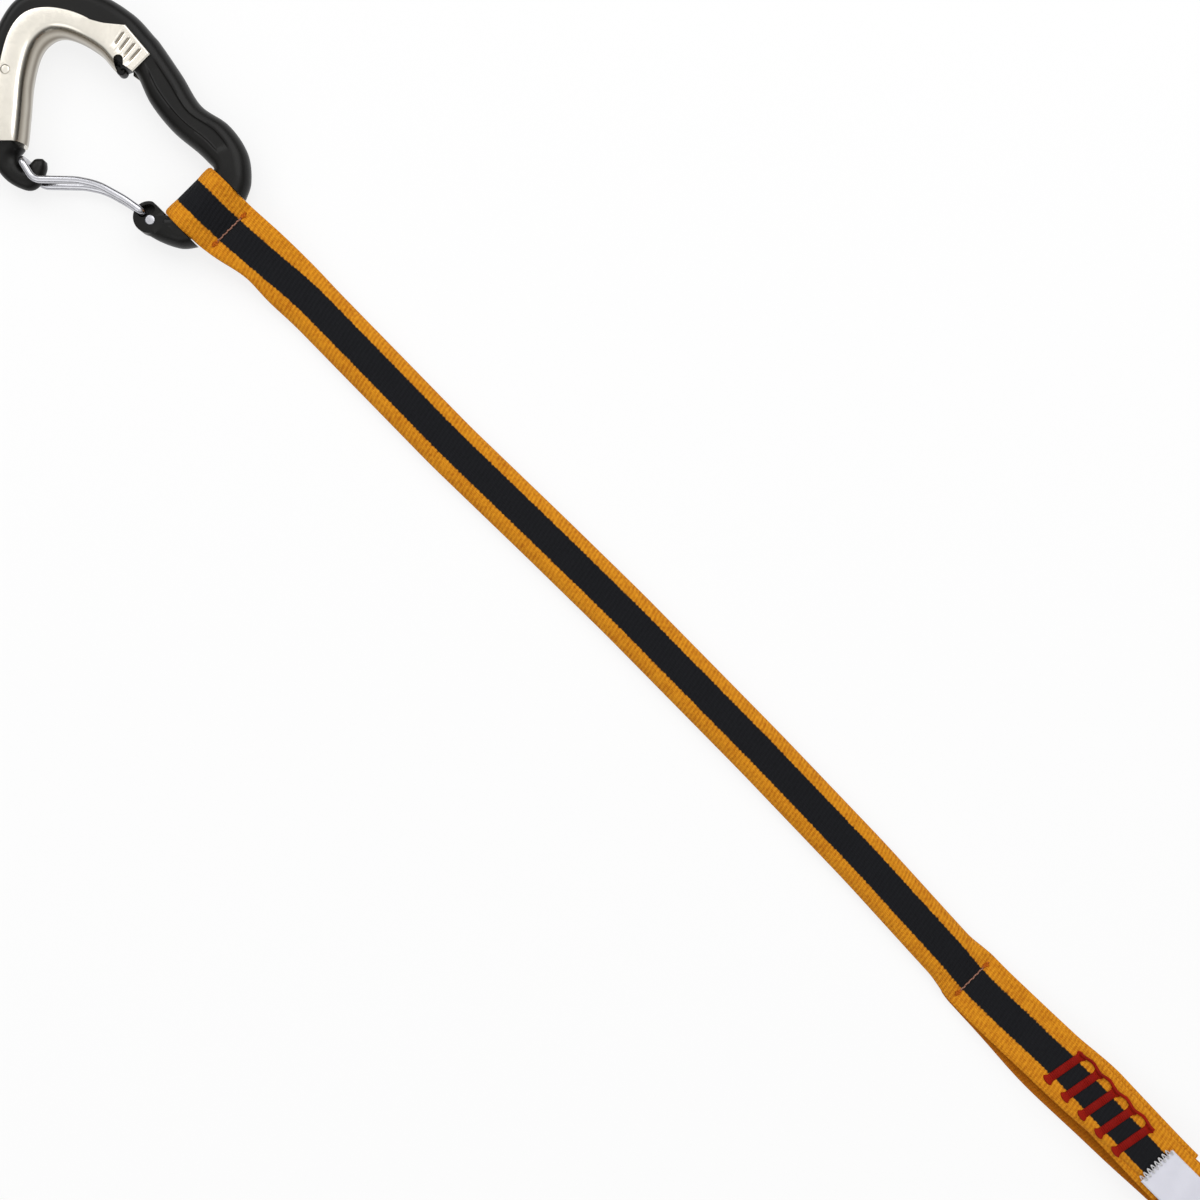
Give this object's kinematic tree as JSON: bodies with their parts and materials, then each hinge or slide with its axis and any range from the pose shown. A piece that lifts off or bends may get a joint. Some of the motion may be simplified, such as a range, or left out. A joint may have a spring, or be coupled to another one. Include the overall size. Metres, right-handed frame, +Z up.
{
  "type": "climbing quickdraw",
  "caption": "Climbing quickdraw: a long sewn webbing sling with a wire-gate carabiner at each end, each with a steel wear insert in its basket, clipped between an anchor and a rope.",
  "frame": {"origin": "middle of the part's box, on the surface that it lies on", "axes": "+X along the sling from the rope carabiner to the bolt carabiner, +Y towards the spines, +Z up"},
  "size_m": [0.6348, 0.065, 0.0132],
  "materials": {
    "webbing": "woven, orange borders, black middle",
    "thread": "sewn thread",
    "label": "plain woven tape",
    "forged_body": "black anodised, satin",
    "wear_steel": "polished stainless steel",
    "gate_wire": "drawn stainless wire"
  },
  "bodies": {
    "sling": {"sling_webbing": "webbing", "rope_eye_stitch": "thread", "bolt_loop_stitch": "thread", "bartack_1": "thread", "bartack_2": "thread", "bartack_3": "thread", "bartack_4": "thread", "bartack_5": "thread", "tack_jump_thread": "thread", "label": "label", "label_stitch_1": "label", "label_stitch_2": "label"},
    "rope_carabiner": {"rope_body": "forged_body", "rope_wear_insert": "wear_steel", "rope_insert_rivet": "wear_steel"},
    "rope_gate": {"rope_wire_gate": "gate_wire"},
    "bolt_carabiner": {"bolt_body": "forged_body", "bolt_wear_insert": "wear_steel", "bolt_insert_rivet": "wear_steel"},
    "bolt_gate": {"bolt_wire_gate": "gate_wire"}
  },
  "joints": [
    {"name": "rope_swing", "type": "hinge", "parent": "sling", "child": "rope_carabiner", "pos_m": [-0.2314, 0.00556, 0.0066], "axis": [0, 1, 0], "range_deg": [-120, 120]},
    {"name": "rope_gate_hinge", "type": "hinge", "parent": "rope_carabiner", "child": "rope_gate", "pos_m": [-0.2386, -0.00939, 0.0066], "axis": [0, 0, -1], "range_deg": [0, 45], "stiffness_Nm_per_rad": 0.3, "springref_deg": -17.19},
    {"name": "bolt_swing", "type": "hinge", "parent": "sling", "child": "bolt_carabiner", "pos_m": [0.2314, 0.00556, 0.0066], "axis": [0, 1, 0], "range_deg": [-120, 120]},
    {"name": "bolt_gate_hinge", "type": "hinge", "parent": "bolt_carabiner", "child": "bolt_gate", "pos_m": [0.2386, -0.00939, 0.0066], "axis": [0, 0, 1], "range_deg": [0, 45], "stiffness_Nm_per_rad": 0.3, "springref_deg": -17.19}
  ]
}
